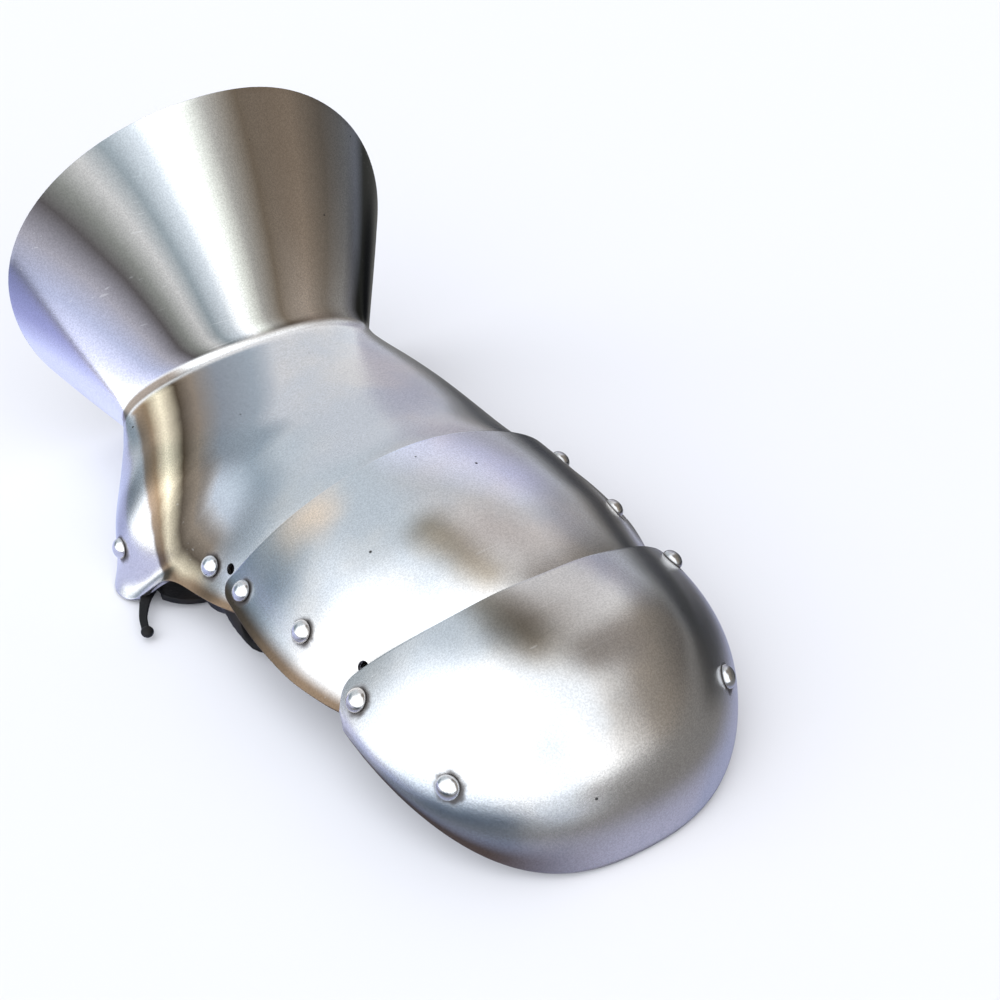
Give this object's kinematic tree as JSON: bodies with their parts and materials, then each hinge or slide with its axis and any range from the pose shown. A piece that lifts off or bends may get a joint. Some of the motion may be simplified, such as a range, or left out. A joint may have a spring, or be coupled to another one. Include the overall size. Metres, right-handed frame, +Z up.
{
  "type": "mitten gauntlet",
  "caption": "Articulated steel mitten gauntlet for the left hand: flared cuff, hinged knuckle and fingertip plates with domed rivets, and leather straps across the palm side.",
  "frame": {"origin": "centre of the box the gauntlet fills, on the surface that it rests on", "axes": "+Z up from the surface, +Y from the fingertips to the cuff along the hand, -X towards the thumb side"},
  "size_m": [0.1439, 0.2534, 0.1219],
  "materials": {
    "satin_steel": "satin brushed, fine scratches",
    "rivet_steel": "polished domes with dark grime round them",
    "black_leather": "worn black, matt"
  },
  "bodies": {
    "hand": {"hand_plate": "satin_steel", "rivet_wrist": "rivet_steel", "rivet_palm_thumb": "rivet_steel", "rivet_palm_little": "rivet_steel", "wrist_strap_pin": "rivet_steel", "wrist_strap": "black_leather", "palm_strap": "black_leather"},
    "knuckle": {"knuckle_lame": "satin_steel", "rivet_knuckle_thumb": "rivet_steel", "rivet_knuckle_little": "rivet_steel", "rivet_finger_thumb": "rivet_steel", "rivet_finger_little": "rivet_steel", "finger_strap": "black_leather"},
    "fingertip": {"finger_plate": "satin_steel", "rivet_tip_hinge_thumb": "rivet_steel", "rivet_tip_hinge_little": "rivet_steel", "rivet_tip_thumb": "rivet_steel", "rivet_tip_little": "rivet_steel"}
  },
  "joints": [
    {"name": "knuckle_hinge", "type": "hinge", "parent": "hand", "child": "knuckle", "pos_m": [0, -0.0066, 0.02358], "axis": [1, 0, 0], "range_deg": [0, 30]},
    {"name": "finger_hinge", "type": "hinge", "parent": "knuckle", "child": "fingertip", "pos_m": [0, -0.06554, 0.02577], "axis": [1, 0, 0], "range_deg": [0, 25]}
  ]
}
